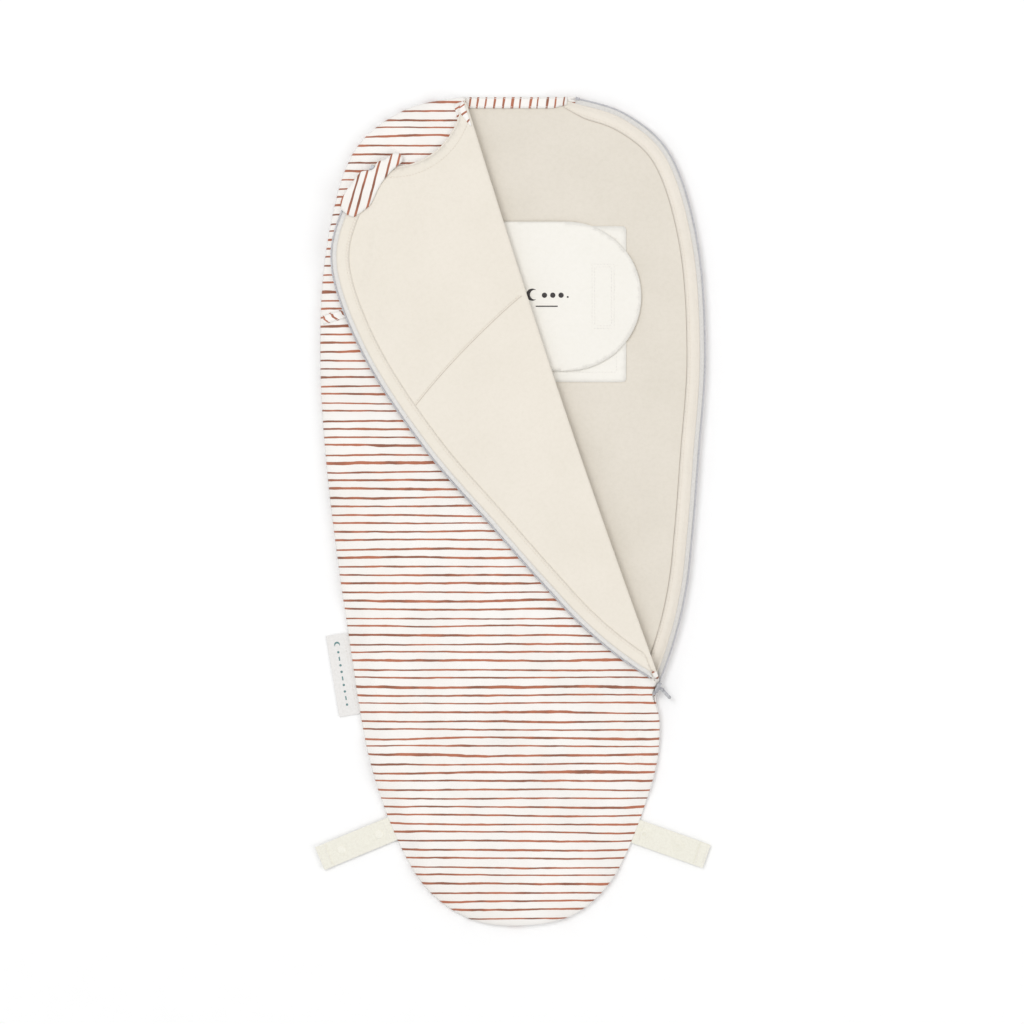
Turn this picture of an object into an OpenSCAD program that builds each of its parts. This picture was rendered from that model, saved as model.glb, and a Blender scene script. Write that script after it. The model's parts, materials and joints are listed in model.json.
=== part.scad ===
// Baby sleeping bag, laid flat on its back with the zipped side folded open.
// X runs across the bag, Y towards the neck, Z up. The underside rests on z = 0.
// The turned-back half of the front is drawn closed and then swung open about the fold.

/* [Bag outline] */
// Half of the bag's width at the chest
half_width = 174.5; // [172:0.5:177]
// Half of the bag's length, from the middle to the foot seam
half_length = 375; // [370:1:380]
// Height of the neck edge above the middle
neck_y = 373.5; // [371:0.5:376]
// How far the front neckline dips below the neck edge
neckline_dip = 26; // [20:1:32]

/* [Cloth] */
// Thickness of one layer of knitted cloth
cloth = 0.8; // [0.6:0.1:0.9]
// Width of the sloping rim between the side seam and the front's flat top
rim_slope = 13; // [10:1:18]
// Height of the underside of the front lining, the roof of the pouch
pouch_roof = 10.6; // [10.5:0.1:12]

/* [Zip] */
// Width of the zip facing that is sewn inside each zip edge
facing_width = 10; // [8:1:12]
// Visible width of each zip tape
tape_width = 5.6; // [5:0.1:6.5]
// Diameter of each nylon coil
coil_d = 2; // [1.8:0.1:2.2]
// Radius of the round lower stretch of the zip, which the slider runs along
zip_radius = 382.6; // [380:0.1:385]
// Length of the slider along the zip
slider_length = 9.5; // [8:0.5:11]
// Length of the pull tab from its pivot
pull_length = 12; // [10:0.5:14]
// Width of the pull tab
pull_width = 3; // [2.4:0.2:3.2]

/* [Straps] */
// Width of the foot straps
strap_width = 22; // [20:0.5:25]
// Thickness of the foot straps
strap_thick = 1.2; // [1:0.1:1.4]
// Length of the left strap outside the seam
left_strap_length = 71; // [60:1:80]
// Length of the right strap outside the seam
right_strap_length = 68; // [60:1:80]
// Length of the folded hem at each strap's end
hem_length = 9; // [7:0.5:11]
// Diameter of the snap caps
snap_d = 8; // [7:0.5:9]

/* [Wrap] */
// Height of the inner wrap's round-ended wing
wing_height = 135; // [125:1:140]
// Width of the fixed square piece behind the wing
base_width = 180; // [160:5:185]
// Height of the fixed square piece
base_height = 141; // [135:1:145]

/* [Label] */
// How far the side label stands out of the seam
label_width = 19; // [16:1:22]
// Length of the side label along the seam
label_length = 74; // [65:1:80]

/* [Hidden] */
$fn = 48;

// Colours of the cloths and trims
stripe_white = [0.97, 0.95, 0.93];
lining_cream = [0.93, 0.89, 0.84];
facing_cream = [0.94, 0.91, 0.86];
wrap_white = [0.97, 0.96, 0.93];
twill_cream = [0.94, 0.94, 0.88];
tape_white = [0.92, 0.91, 0.92];
coil_grey = [0.72, 0.72, 0.74];
metal_grey = [0.62, 0.62, 0.64];
label_grey = [0.92, 0.91, 0.90];

// Heights and thicknesses of the layers, from the floor up
back_thick = 1;
lining_z = 1.1;
seam_z = 2.2;
wrap_z = 2.2;
loop_z = wrap_z + cloth;
hook_z = 3.7;
wing_z = 4.2;
front_z = pouch_roof + cloth + 0.2;
front_top = front_z + cloth;
fold_z = front_top + 0.8;
band_thick = 0.5;
facing_thick = 0.6;
back_coil_z = 7.9;
flap_coil_z = 10.4;
pin_z = (back_coil_z + flap_coil_z) / 2;
guard_z = pouch_roof - 2.3;
guard_thick = 1.2;
strap_z = 1.6;
hem_thick = 0.8;

// The fold runs from the left end of the neck to the slider
fold_top = [-45, 371];
fold_foot = [130.5, -152.5];
fold_gap = 0.6;
fold_run = fold_foot - fold_top;
fold_angle = atan2(fold_run[1], fold_run[0]);
fold_dir = [cos(fold_angle), sin(fold_angle)];

// The lower zip is an arc, given by its centre and the angles of its two ends
zip_centre = [-220, -8];
zip_foot_angle = -24.5;
zip_arc_end = -3.6;
slider_angle = -23.4;
flap_tip_angle = -20.8;
coil_inset = 0.5 + coil_d / 2;
tape_inset = coil_inset + 0.9;
facing_inset = tape_inset + tape_width;

// Insets of the cloth edges from the outline
back_lining_inset = 1.5;
front_inset = 1;
front_lining_inset = 3.2;
flap_inset = 3;
flap_lining_inset = facing_inset - 1;

// Metal clips on the coils: length, and cover beside and above each coil
clip_length = 3;
clip_side = 0.4;
clip_cover = 0.2;

// The pin that carries the pull tab, outside the slider
pin_r = 0.5;
pin_place = on_circle(zip_centre, zip_radius + 2.7, slider_angle);
pull_direction = -47;

// Strap roots on the outline, and the directions in which the straps point
left_root = [-109.5, -287.5];
left_direction = 202.5;
right_root = [110.5, -290];
right_direction = -19.5;
root_gap = 0.6;
label_root = [-144, -147];
label_direction = 189.5;

// Snaps: their distances along each strap, and the sizes of the stud and the socket
left_snaps = [13.5, 50];
right_snaps = [8, 40];
snap_flange = 0.6;
stud_d = 3.4;
stud_h = 1.4;
socket_d = 6.4;
socket_h = 1.4;
socket_bore = 3.8;

// The wrap: the wing's round end, and the line about which the wing lifts
wing_centre = [48, 193.5];
wing_left = -95;
wing_hinge_offset = 10;
wing_hinge_gap = 0.4;
base_corner = [-78, 116];
patch_corner = [70, 163.5];
patch_size = [22, 60];
loop_thick = 0.4;

// The chin guard is what lies between two circles, within a square
guard_centre = [54, 332];
guard_radius = 51;
guard_hollow_centre = [38, 295];
guard_hollow_radius = 64;
guard_corner = [30, 345];
guard_inset = 3.3;

// The chest band is an arc across the whole front
chest_centre = [0, -407];
chest_radius = 604;
chest_band_width = 8.5;

// ---------- curves ----------

// Point on a circle
function on_circle(centre, radius, angle) = centre + radius * [cos(angle), sin(angle)];

// Point between b and c on a smooth curve through a, b, c and d
function smooth_point(a, b, c, d, t) =
    0.5 * (2 * b + (c - a) * t + (2 * a - 5 * b + 4 * c - d) * t * t
    + (3 * b - a - 3 * c + d) * t * t * t);

// Smooth curve from the second knot to the last but one
function smooth(knots, steps) = [
    for (i = [1:len(knots) - 3], j = [0:steps - 1])
        smooth_point(knots[i - 1], knots[i], knots[i + 1], knots[i + 2], j / steps)
];

function unit(v) = v / norm(v);

// Inward normal at point i of a path that runs anticlockwise
function inward(path, i) =
    let (a = path[max(i - 1, 0)], b = path[min(i + 1, len(path) - 1)], t = unit(b - a))
    [-t[1], t[0]];

// Inward normal at point i of a closed outline
function inward_closed(path, i) =
    let (n = len(path), t = unit(path[(i + 1) % n] - path[(i + n - 1) % n]))
    [-t[1], t[0]];

function inset(path, d) = [for (i = [0:len(path) - 1]) path[i] + d * inward(path, i)];
function inset_closed(path, d) =
    [for (i = [0:len(path) - 1]) path[i] + d * inward_closed(path, i)];
function reversed(path) = [for (i = [len(path) - 1:-1:0]) path[i]];

// Angle of a length measured along the zip's arc
function arc_turn(length) = length / zip_radius * 180 / PI;

function zip_arc(first) = [
    for (a = [first:(zip_arc_end - first) / 12:zip_arc_end - 0.01])
        on_circle(zip_centre, zip_radius, a)
];

zip_top = [57, neck_y];
neck_left = [-46.5, neck_y];

// Upper stretch of the zip, from the end of the arc to the neck
zip_rise = smooth([
    on_circle(zip_centre, zip_radius, -14), on_circle(zip_centre, zip_radius, zip_arc_end),
    [168.5, 50], [half_width, 140], [168, 240], [144, 320], [104, 358], zip_top, [8, 382]
], 7);

// Left side and foot, from the neck down and round to the foot of the zip
side_and_foot = smooth([
    [8, 382], neck_left, [-100, 361], [-146, 321], [-169, 236], [-half_width, 140],
    [-168, 32], [-150, -106], [-128, -233], [-90, -326], [-44, -367], [8, -half_length],
    [58, -363], [96, -322], [126, -243], [132, -196],
    on_circle(zip_centre, zip_radius, zip_foot_angle), [134, -151]
], 6);

zip_line = concat(zip_arc(zip_foot_angle), zip_rise, [zip_top]);
flap_zip_line = concat(zip_arc(flap_tip_angle), zip_rise, [zip_top]);
outline = concat(zip_arc(zip_foot_angle), zip_rise, [zip_top], side_and_foot);

// ---------- building blocks ----------

module layer(z, thick) {
    translate([0, 0, z]) linear_extrude(thick) children();
}

// Everything on one side of the fold: +1 is the zip side, -1 the sewn side
module fold_half(side, gap) {
    translate(fold_top) rotate(fold_angle)
        translate([-200, side > 0 ? gap : -600]) square([1000, 600 - (side > 0 ? 0 : gap)]);
}

// The sewn part of the front, whose seam edge is drawn in by d
module sewn_shape(d, gap = fold_gap) {
    intersection() {
        polygon(inset_closed(outline, d));
        fold_half(-1, gap);
    }
}

// The zipped part of the front in its closed position, its zip edge drawn in by d
module zipped_shape(d) {
    difference() {
        intersection() {
            polygon(inset_closed(outline, d));
            fold_half(1, fold_gap);
        }
        neckline();
        flap_tip();
    }
}

// Circle that cuts the front neckline
module neckline() {
    half_chord = (zip_top[0] - neck_left[0]) / 2;
    radius = (half_chord * half_chord + neckline_dip * neckline_dip) / (2 * neckline_dip);
    translate([zip_top[0] - half_chord, neck_y - neckline_dip + radius]) circle(radius);
}

// The narrow end of the flap at the slider, which stays with the zip
module flap_tip() {
    tip = on_circle(zip_centre, zip_radius, flap_tip_angle);
    along = (tip - fold_top) * fold_dir;
    translate(fold_top) rotate(fold_angle) translate([along, -100]) square([200, 300]);
}

// Band that follows a path between two insets
module path_band(path, near, far, z, thick) {
    layer(z, thick) polygon(concat(inset(path, near), reversed(inset(path, far))));
}

// Solid swept along a path; each section point is [inset, height]
module swept(path, section) {
    n = len(section);
    rings = len(path);
    points = [
        for (i = [0:rings - 1], s = section)
            let (p = path[i] + s[0] * inward(path, i)) [p[0], p[1], s[1]]
    ];
    sides = [
        for (i = [0:rings - 2], j = [0:n - 1])
            [i * n + j, i * n + (j + 1) % n, (i + 1) * n + (j + 1) % n, (i + 1) * n + j]
    ];
    first = [for (j = [n - 1:-1:0]) j];
    last = [for (j = [0:n - 1]) (rings - 1) * n + j];
    polyhedron(points, concat(sides, [first, last]));
}

// Round coil along a path, its centre at height z
module coil(path, z) {
    swept(path, [
        for (a = [0:45:315]) [coil_inset - coil_d / 2 * cos(a), z + coil_d / 2 * sin(a)]
    ]);
}

// Solid under a roof of sewn cloth: its edge is drawn in by near at the seam
module sewn_mound(near, top, gap) {
    intersection() {
        hull() {
            layer(seam_z, 0.1) sewn_shape(near, gap);
            layer(top - 0.1, 0.1) sewn_shape(near + rim_slope, gap);
        }
        layer(seam_z, top - seam_z) sewn_shape(near, gap);
    }
}

// One layer of the sewn front: a flat roof with a rim that slopes down to the seam
module sewn_front(near, top) {
    difference() {
        sewn_mound(near, top, fold_gap);
        translate([0, 0, -cloth]) sewn_mound(near + cloth, top, fold_gap - 3);
        zip_foot_gap();
    }
}

// Part of a ring about the centre of the zip's arc, between two radii
module zip_ring(first, turn, inner, outer, z, tall) {
    translate([zip_centre[0], zip_centre[1], 0]) rotate([0, 0, first])
        rotate_extrude(angle = turn, $fn = 360)
            translate([inner, z]) square([outer - inner, tall]);
}

// Room for the slider, the stop and the end of the tape at the foot of the zip
module zip_foot_gap() {
    zip_ring(zip_foot_angle - 0.7, 4.5, zip_radius - facing_inset + 0.4, zip_radius + 5,
        seam_z - 1, front_top);
}

// Swings the closed flap open about the fold
module folded_open() {
    pivot = [fold_top[0], fold_top[1], fold_z];
    translate(pivot) rotate(a = 180, v = [fold_dir[0], fold_dir[1], 0]) translate(-pivot)
        children();
}

// Puts a piece that points along +X at the root of a strap or label
module at_root(root, direction) {
    translate([root[0], root[1], 0]) rotate(direction) children();
}

// Webbing that starts just outside the seam, with its hem folded over on top
module strap(length) {
    translate([root_gap, -strap_width / 2, strap_z])
        cube([length - root_gap, strap_width, strap_thick]);
    translate([length - hem_length, -strap_width / 2, strap_z + strap_thick])
        cube([hem_length, strap_width, hem_thick]);
}

// Low dome of a snap cap, its flat side at z
module cap(x, z, up) {
    rim = snap_d / 2;
    dome = [[0, 0], [rim, 0], [rim, 0.35], [rim - 0.8, 0.75], [0, 0.9]];
    translate([x, 0, z]) mirror([0, 0, up ? 0 : 1]) rotate_extrude() polygon(dome);
}

// Stud half of a snap, below the webbing
module stud(x) {
    translate([x, 0, strap_z - snap_flange]) cylinder(h = snap_flange, d = snap_d);
    translate([x, 0, strap_z - stud_h]) cylinder(h = stud_h, d = stud_d);
}

// Socket half of a snap, on top of the webbing
module socket(x) {
    translate([x, 0, strap_z + strap_thick]) difference() {
        union() {
            cylinder(h = snap_flange, d = snap_d + 1);
            cylinder(h = socket_h, d = socket_d);
        }
        translate([0, 0, snap_flange / 2]) cylinder(h = socket_h, d = socket_bore);
    }
}

// Outline of the wing: a strip with one round end
module wing_outline() {
    translate(wing_centre) circle(d = wing_height, $fn = 96);
    translate([wing_left, wing_centre[1] - wing_height / 2])
        square([wing_centre[0] - wing_left, wing_height]);
}

// ---------- back of the bag ----------

module back_outer() {
    color(stripe_white) layer(0, back_thick) polygon(outline);
}

module back_lining() {
    color(lining_cream) layer(lining_z, back_thick)
        polygon(inset_closed(outline, back_lining_inset));
}

// Binding along the back of the neck
module back_neck_band() {
    width = 10;
    first = neck_left[0] + 4.5;
    last = zip_top[0] - 11.5;
    color(stripe_white) layer(seam_z, back_thick)
        translate([first, neck_y - width]) square([last - first, width]);
}

// ---------- sewn part of the front ----------

module front_outer() {
    color(stripe_white) sewn_front(front_inset, front_top);
}

module front_lining() {
    color(lining_cream) sewn_front(front_lining_inset, pouch_roof + cloth);
}

// Ring that the chest band is cut from
module chest_ring() {
    translate(chest_centre) difference() {
        circle(chest_radius + chest_band_width / 2, $fn = 180);
        circle(chest_radius - chest_band_width / 2, $fn = 180);
    }
}

module chest_band() {
    color(stripe_white) layer(front_top, band_thick) intersection() {
        sewn_shape(rim_slope + 2);
        chest_ring();
    }
}

// ---------- zip, back half ----------

module back_zip_facing() {
    color(facing_cream)
        path_band(zip_line, facing_inset, facing_inset + facing_width, seam_z, facing_thick);
}

// Tape that stands up from the facing to the coil
module back_zip_tape() {
    foot = facing_inset - 0.2;
    head = tape_inset + 0.2;
    color(tape_white) swept(zip_line, [
        [head, back_coil_z + 0.1], [head, back_coil_z - 0.6],
        [foot, seam_z + 0.1], [foot, seam_z + 0.8]
    ]);
}

module back_zip_coil() {
    color(coil_grey) coil(zip_line, back_coil_z);
}

// Clip on the last turns of a coil at the neck
module coil_end_clip(z) {
    end = zip_line[len(zip_line) - 1];
    along = unit(end - zip_line[len(zip_line) - 2]);
    side = coil_d / 2 + clip_side;
    cover = coil_d / 2 + clip_cover;
    swept([end - clip_length * along, end + 0.5 * along], [
        [coil_inset - side, z - cover], [coil_inset - side, z + cover],
        [coil_inset + side, z + cover], [coil_inset + side, z - cover]
    ]);
}

module back_zip_stop() {
    color(metal_grey) coil_end_clip(back_coil_z);
}

// Small metal box that holds both coils together below the slider
module zip_bottom_stop() {
    side = coil_d / 2 + clip_side;
    low = back_coil_z - coil_d / 2 - clip_cover;
    high = flap_coil_z + coil_d / 2 + clip_cover;
    middle = zip_radius - coil_inset;
    color(metal_grey)
        zip_ring(zip_foot_angle, arc_turn(clip_length), middle - side, middle + side,
            low, high - low);
}

// ---------- slider ----------

// Channel that runs over both coils, open towards the cloth
module slider_body() {
    wall = 0.9;
    bottom = back_coil_z - coil_d / 2 - 0.5;
    top = flap_coil_z + coil_d / 2 + 0.7;
    inner = zip_radius - coil_inset - coil_d / 2 - 0.1;
    outer = zip_radius + wall;
    turn = arc_turn(slider_length);
    first = slider_angle - turn / 2;
    lug_turn = arc_turn(3);
    lug_thick = 1;
    lug_gap = 1.6;
    color(metal_grey) union() {
        zip_ring(first, turn, zip_radius, outer, bottom - wall, top - bottom + 2 * wall);
        for (z = [bottom - wall, top])
            zip_ring(first, turn, inner, outer, z, wall);
        for (z = [pin_z - lug_gap - lug_thick, pin_z + lug_gap])
            zip_ring(slider_angle - lug_turn / 2, lug_turn, zip_radius + wall / 2, outer + 3.2,
                z, lug_thick);
    }
}

// Upright pin that the pull tab hangs on
module slider_pin() {
    color(metal_grey) translate([pin_place[0], pin_place[1], pin_z - 1.6])
        cylinder(h = 3.2, r = pin_r);
}

module pull_tab() {
    thick = 1.1;
    straight = pull_length - pull_width / 2;
    color(metal_grey) translate([pin_place[0], pin_place[1], pin_z - thick / 2])
        rotate(pull_direction) linear_extrude(thick) difference() {
            union() {
                circle(d = pull_width);
                translate([0, -pull_width / 2]) square([straight, pull_width]);
                translate([straight, 0]) circle(d = pull_width);
            }
            circle(r = pin_r + 0.08);
        }
}

// ---------- inner wrap ----------

module wrap_base() {
    corner = 3;
    color(wrap_white) layer(wrap_z, cloth)
        translate(base_corner) translate([corner, corner]) union() {
            translate([0, -corner]) square([base_width - 2 * corner, base_height]);
            translate([-corner, 0]) square([base_width, base_height - 2 * corner]);
            for (x = [0, base_width - 2 * corner], y = [0, base_height - 2 * corner])
                translate([x, y]) circle(corner);
        }
}

// Fixed end of the wing, under the front
module wrap_root() {
    color(wrap_white) layer(wing_z, cloth) difference() {
        wing_outline();
        fold_half(1, wing_hinge_offset - wing_hinge_gap);
    }
}

// Round end of the wing, right of the line that it lifts about
module wrap_wing() {
    color(wrap_white) layer(wing_z, cloth) intersection() {
        wing_outline();
        fold_half(1, wing_hinge_offset + wing_hinge_gap);
    }
}

module patch(z, thick) {
    layer(z, thick) translate(patch_corner) square(patch_size);
}

module wrap_loop_patch() {
    color(wrap_white) patch(loop_z, loop_thick);
}

module wrap_hook_patch() {
    color(wrap_white) patch(hook_z, wing_z - hook_z);
}

// ---------- folded-back part of the front ----------

module flap_outer() {
    color(stripe_white) folded_open() layer(front_z, cloth) zipped_shape(flap_inset);
}

module flap_lining() {
    color(lining_cream) folded_open() layer(pouch_roof, cloth) zipped_shape(flap_lining_inset);
}

module flap_chest_band() {
    color(stripe_white) folded_open() layer(front_top, band_thick) intersection() {
        zipped_shape(flap_inset + 1);
        chest_ring();
    }
}

// Keeps what lies on the flap, clear of the fold, the neckline and the narrow tip
module on_flap(z, thick) {
    intersection() {
        children();
        layer(z - 1, thick + 2) zipped_shape(-1);
    }
}

module flap_zip_facing() {
    z = pouch_roof - facing_thick - 0.1;
    color(facing_cream) folded_open() on_flap(z, facing_thick)
        path_band(flap_zip_line, facing_inset, facing_inset + facing_width, z, facing_thick);
}

module flap_zip_tape() {
    z = pouch_roof + 0.2;
    color(tape_white) folded_open() on_flap(z, facing_thick)
        path_band(flap_zip_line, tape_inset, flap_lining_inset - 0.2, z, facing_thick);
}

module flap_zip_coil() {
    color(coil_grey) folded_open() coil(flap_zip_line, flap_coil_z);
}

module flap_zip_stop() {
    color(metal_grey) folded_open() coil_end_clip(flap_coil_z);
}

// Crescent of striped cloth that covers the zip's top end inside the collar
module chin_guard() {
    color(stripe_white) folded_open() layer(guard_z, guard_thick) intersection() {
        difference() {
            translate(guard_centre) circle(guard_radius);
            translate(guard_hollow_centre) circle(guard_hollow_radius);
        }
        translate(guard_corner) square(guard_radius + 20);
        polygon(inset_closed(outline, guard_inset));
    }
}

// ---------- straps and label ----------

module left_strap() {
    color(twill_cream) at_root(left_root, left_direction) strap(left_strap_length);
}

module left_snap_caps() {
    color(twill_cream) at_root(left_root, left_direction)
        for (x = left_snaps) cap(x, strap_z + strap_thick, true);
}

module left_snap_studs() {
    color(twill_cream) at_root(left_root, left_direction) for (x = left_snaps) stud(x);
}

module right_strap() {
    color(twill_cream) at_root(right_root, right_direction) strap(right_strap_length);
}

module right_snap_sockets() {
    color(twill_cream) at_root(right_root, right_direction) for (x = right_snaps) socket(x);
}

module right_snap_caps() {
    color(twill_cream) at_root(right_root, right_direction)
        for (x = right_snaps) cap(x, strap_z, false);
}

// Woven loop label, folded double and sewn into the side seam
module side_label() {
    color(label_grey) at_root(label_root, label_direction)
        translate([0.8, -label_length / 2, 0.4]) cube([label_width, label_length, 0.8]);
}

back_outer();
back_lining();
front_outer();
front_lining();
chest_band();
back_neck_band();
back_zip_facing();
back_zip_tape();
back_zip_coil();
back_zip_stop();
zip_bottom_stop();
wrap_base();
wrap_root();
wrap_loop_patch();
wrap_wing();
wrap_hook_patch();
flap_outer();
flap_lining();
flap_chest_band();
flap_zip_facing();
flap_zip_tape();
flap_zip_coil();
flap_zip_stop();
chin_guard();
slider_body();
slider_pin();
pull_tab();
left_strap();
left_snap_caps();
left_snap_studs();
right_strap();
right_snap_sockets();
right_snap_caps();
side_label();
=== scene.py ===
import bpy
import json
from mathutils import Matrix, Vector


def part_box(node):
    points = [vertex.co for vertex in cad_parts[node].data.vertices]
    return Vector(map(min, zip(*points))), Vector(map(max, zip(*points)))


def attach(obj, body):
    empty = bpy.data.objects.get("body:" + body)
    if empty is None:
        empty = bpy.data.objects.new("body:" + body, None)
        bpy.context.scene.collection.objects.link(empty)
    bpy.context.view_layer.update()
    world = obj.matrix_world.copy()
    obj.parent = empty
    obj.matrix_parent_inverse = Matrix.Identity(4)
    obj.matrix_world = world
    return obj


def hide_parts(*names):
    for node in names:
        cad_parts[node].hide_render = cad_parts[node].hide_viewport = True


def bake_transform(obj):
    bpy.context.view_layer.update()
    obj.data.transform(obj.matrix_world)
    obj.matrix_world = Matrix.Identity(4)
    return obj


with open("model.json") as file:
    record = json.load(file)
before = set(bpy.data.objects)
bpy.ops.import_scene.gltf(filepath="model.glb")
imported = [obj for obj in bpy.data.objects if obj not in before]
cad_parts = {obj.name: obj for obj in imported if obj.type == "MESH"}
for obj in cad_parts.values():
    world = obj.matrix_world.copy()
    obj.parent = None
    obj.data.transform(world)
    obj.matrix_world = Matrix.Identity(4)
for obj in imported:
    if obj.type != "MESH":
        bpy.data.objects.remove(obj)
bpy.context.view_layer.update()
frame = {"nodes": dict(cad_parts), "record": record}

import json
import math

import bpy
import numpy as np
from mathutils import Vector, geometry, noise

MM = 0.001

# ---------- what the frame says ----------

joints = {j["name"]: j for j in frame["record"]["behaviour"]["joints"]}


def signed_area(loop):
    """The area of a closed loop, above 0 if the loop runs anticlockwise."""
    ahead = np.roll(loop, -1, axis=0)
    return 0.5 * float(np.sum(loop[:, 0] * ahead[:, 1] - ahead[:, 0] * loop[:, 1]))


def flat_outline(node):
    """The outline of a CAD plate's underside, anticlockwise, as an array of (x, y)."""
    mesh = frame["nodes"][node].data
    floor = min(v.co.z for v in mesh.vertices)
    key = [(round(v.co.x, 6), round(v.co.y, 6)) for v in mesh.vertices]
    low = [v.co.z < floor + 0.05 * MM for v in mesh.vertices]
    edges = {}
    for poly in mesh.polygons:
        ids = list(poly.vertices)
        if all(low[i] for i in ids):
            for a, b in zip(ids, ids[1:] + ids[:1]):
                pair = (key[a], key[b])
                if pair[::-1] in edges:
                    del edges[pair[::-1]]
                else:
                    edges[pair] = True
    follow = {a: b for a, b in edges}
    start = next(iter(follow))
    points, here = [start], follow[start]
    while here != start:
        points.append(here)
        here = follow[here]
    points = np.array(points)
    return points if signed_area(points) > 0 else points[::-1]


def middle(node):
    low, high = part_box(node)
    return np.array((low + high) / 2)


fold_joint = joints["front_fold"]
FOLD_START = np.array(fold_joint["pos_m"][:2])
FOLD_Z = fold_joint["pos_m"][2]
FOLD_DIR = -np.array(fold_joint["axis"][:2])
FOLD_SIDE = np.array([-FOLD_DIR[1], FOLD_DIR[0]])

outline = flat_outline("back_outer")
foot_i = int(np.argmin(np.linalg.norm(outline - middle("zip_bottom_stop")[:2], axis=1)))
outline = np.roll(outline, -foot_i, axis=0)
top_i = int(np.argmin(np.linalg.norm(outline - middle("back_zip_stop")[:2], axis=1)))

CLOTH = 0.7 * MM
OUTER_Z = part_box("front_outer")[1].z - 0.4 * MM
LINING_Z = OUTER_Z - 1.0 * MM
BACK_OUTER_Z = 0.5 * MM
BACK_LINING_Z = middle("back_lining")[2]
BACK_COIL_Z = middle("back_zip_coil")[2]
FLAP_COIL_Z = 2 * FOLD_Z - middle("flap_zip_coil")[2]
COIL_INSET = 1.5 * MM
FACING_INNER = 17.4 * MM
FACING_OUTER = 8 * MM
FOLD_LENGTH = float((outline[0] - FOLD_START) @ FOLD_DIR)

# ---------- paths ----------


def lengths(path):
    steps = np.linalg.norm(np.diff(path, axis=0), axis=1)
    return np.concatenate([[0], np.cumsum(steps)])


def points_at(path, along, at):
    """Rows between those of a path, whose own rows lie at the distances along."""
    return np.stack([np.interp(at, along, column) for column in path.T], 1)


def resample(path, step):
    along = lengths(path)
    count = max(2, int(round(along[-1] / step)) + 1)
    return points_at(path, along, np.linspace(0, along[-1], count))


def closed(loop):
    return np.concatenate([loop, loop[:1]])


def even_loop(loop, step):
    """A closed loop's points, spread evenly."""
    return resample(closed(loop), step)[:-1]


def nearest(xy, path):
    """For each point: its distance from a path, and how far along the path it is nearest."""
    start = lengths(path)
    best = np.full(len(xy), 1e9)
    along = np.zeros(len(xy))
    for a, b, before in zip(path, path[1:], start):
        ab = b - a
        size = max(np.linalg.norm(ab), 1e-9)
        t = np.clip(((xy - a) @ ab) / size**2, 0, 1)
        gap = np.linalg.norm(xy - (a + t[:, None] * ab), axis=1)
        along = np.where(gap < best, before + t * size, along)
        best = np.minimum(best, gap)
    return best, along


def arc(centre, radius, start, end, count):
    """Points on a circle between two angles, in radians."""
    angles = np.linspace(start, end, count)
    return np.array(centre) + radius * np.column_stack([np.cos(angles), np.sin(angles)])


def smoothed(path, rounds=2):
    """The same path with its corners eased, ends kept."""
    for _ in range(rounds):
        inner = 0.25 * path[:-2] + 0.5 * path[1:-1] + 0.25 * path[2:]
        path = np.concatenate([path[:1], inner, path[-1:]])
    return path


def inward(path):
    """Unit normals to the left of the way the path runs."""
    t = np.gradient(path, axis=0)
    t /= np.linalg.norm(t, axis=1)[:, None]
    return np.stack([-t[:, 1], t[:, 0]], 1)


def ease(x):
    x = np.clip(x, 0, 1)
    return x * x * (3 - 2 * x)


closed_outline = closed(outline)
rim_length = lengths(closed_outline)[-1]
zip_length = lengths(closed_outline)[top_i]
zip_line = smoothed(resample(closed_outline[: top_i + 1], 2.5 * MM))


def zipness(along):
    """1 along the zip, 0 along the sewn seam, easing over a short stretch at each end."""
    from_foot = np.minimum(along, rim_length - along) * np.where(along > rim_length / 2, -1, 1)
    past_top = along - zip_length
    at_foot = ease((from_foot + 14 * MM) / (14 * MM))
    at_top = 1 - ease(past_top / (14 * MM))
    return np.where(along > rim_length / 2 + zip_length / 2, at_foot, at_foot * at_top)


def seam_place(xy):
    """For each point: its distance from the outline, and how far along the outline it is."""
    return nearest(xy, closed_outline)


SEAM_Z = 2.9 * MM
ZIP_RIM_Z = 7.6 * MM


def rim_height(along):
    """Height of the bag's edge: low at the sewn seam, raised along the zip."""
    before_foot = rim_length - along
    past_top = along - zip_length
    near_zip = np.where(
        along <= zip_length,
        1.0,
        np.maximum(1 - ease(before_foot / (60 * MM)), 1 - ease(past_top / (35 * MM))),
    )
    return SEAM_Z + (ZIP_RIM_Z - SEAM_Z) * near_zip


# ---------- soft folds in the cloth ----------


def creased(xy, folds, creases):
    """Adds soft ridges, or valleys where the height is below 0, that fade at their ends.
    Each crease is a width, a height and the points of its line, in millimetres."""
    for width, height, *points in creases:
        path = np.array(points) * MM
        best, along = nearest(xy, path)
        share = along / lengths(path)[-1]
        fade = ease(share / 0.3) * ease((1 - share) / 0.3)
        folds = folds + height * MM * fade * np.exp(-((best / (width * MM)) ** 2))
    return folds


def ripple(xy, size, height, seed):
    """Gentle unevenness of lying cloth."""
    scale = 1 / (size * MM)
    return np.array([
        height * MM * noise.noise(Vector((x * scale, y * scale, seed))) for x, y in xy
    ])


SEWN_CREASES = (
    (4, -3.6, (99, -120), (110, -158), (114, -205), (108, -260)),
    (6, -1.8, (84, -140), (93, -185), (94, -235)),
    (4, -1.2, (118, -150), (122, -185), (123, -215)),
    (15, -0.9, (-130, 20), (-70, -40), (0, -70)),
    (18, -0.8, (-100, -180), (-40, -215), (60, -205)),
    (5, -0.9, (-140, 330), (-152, 270), (-156, 210)),
)


def sewn_folds(xy):
    folds = ripple(xy, 60, 0.5, 1.3) + ripple(xy, 22, 0.16, 7.7)
    return np.minimum(creased(xy, folds, SEWN_CREASES), FOLD_RISE)


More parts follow.
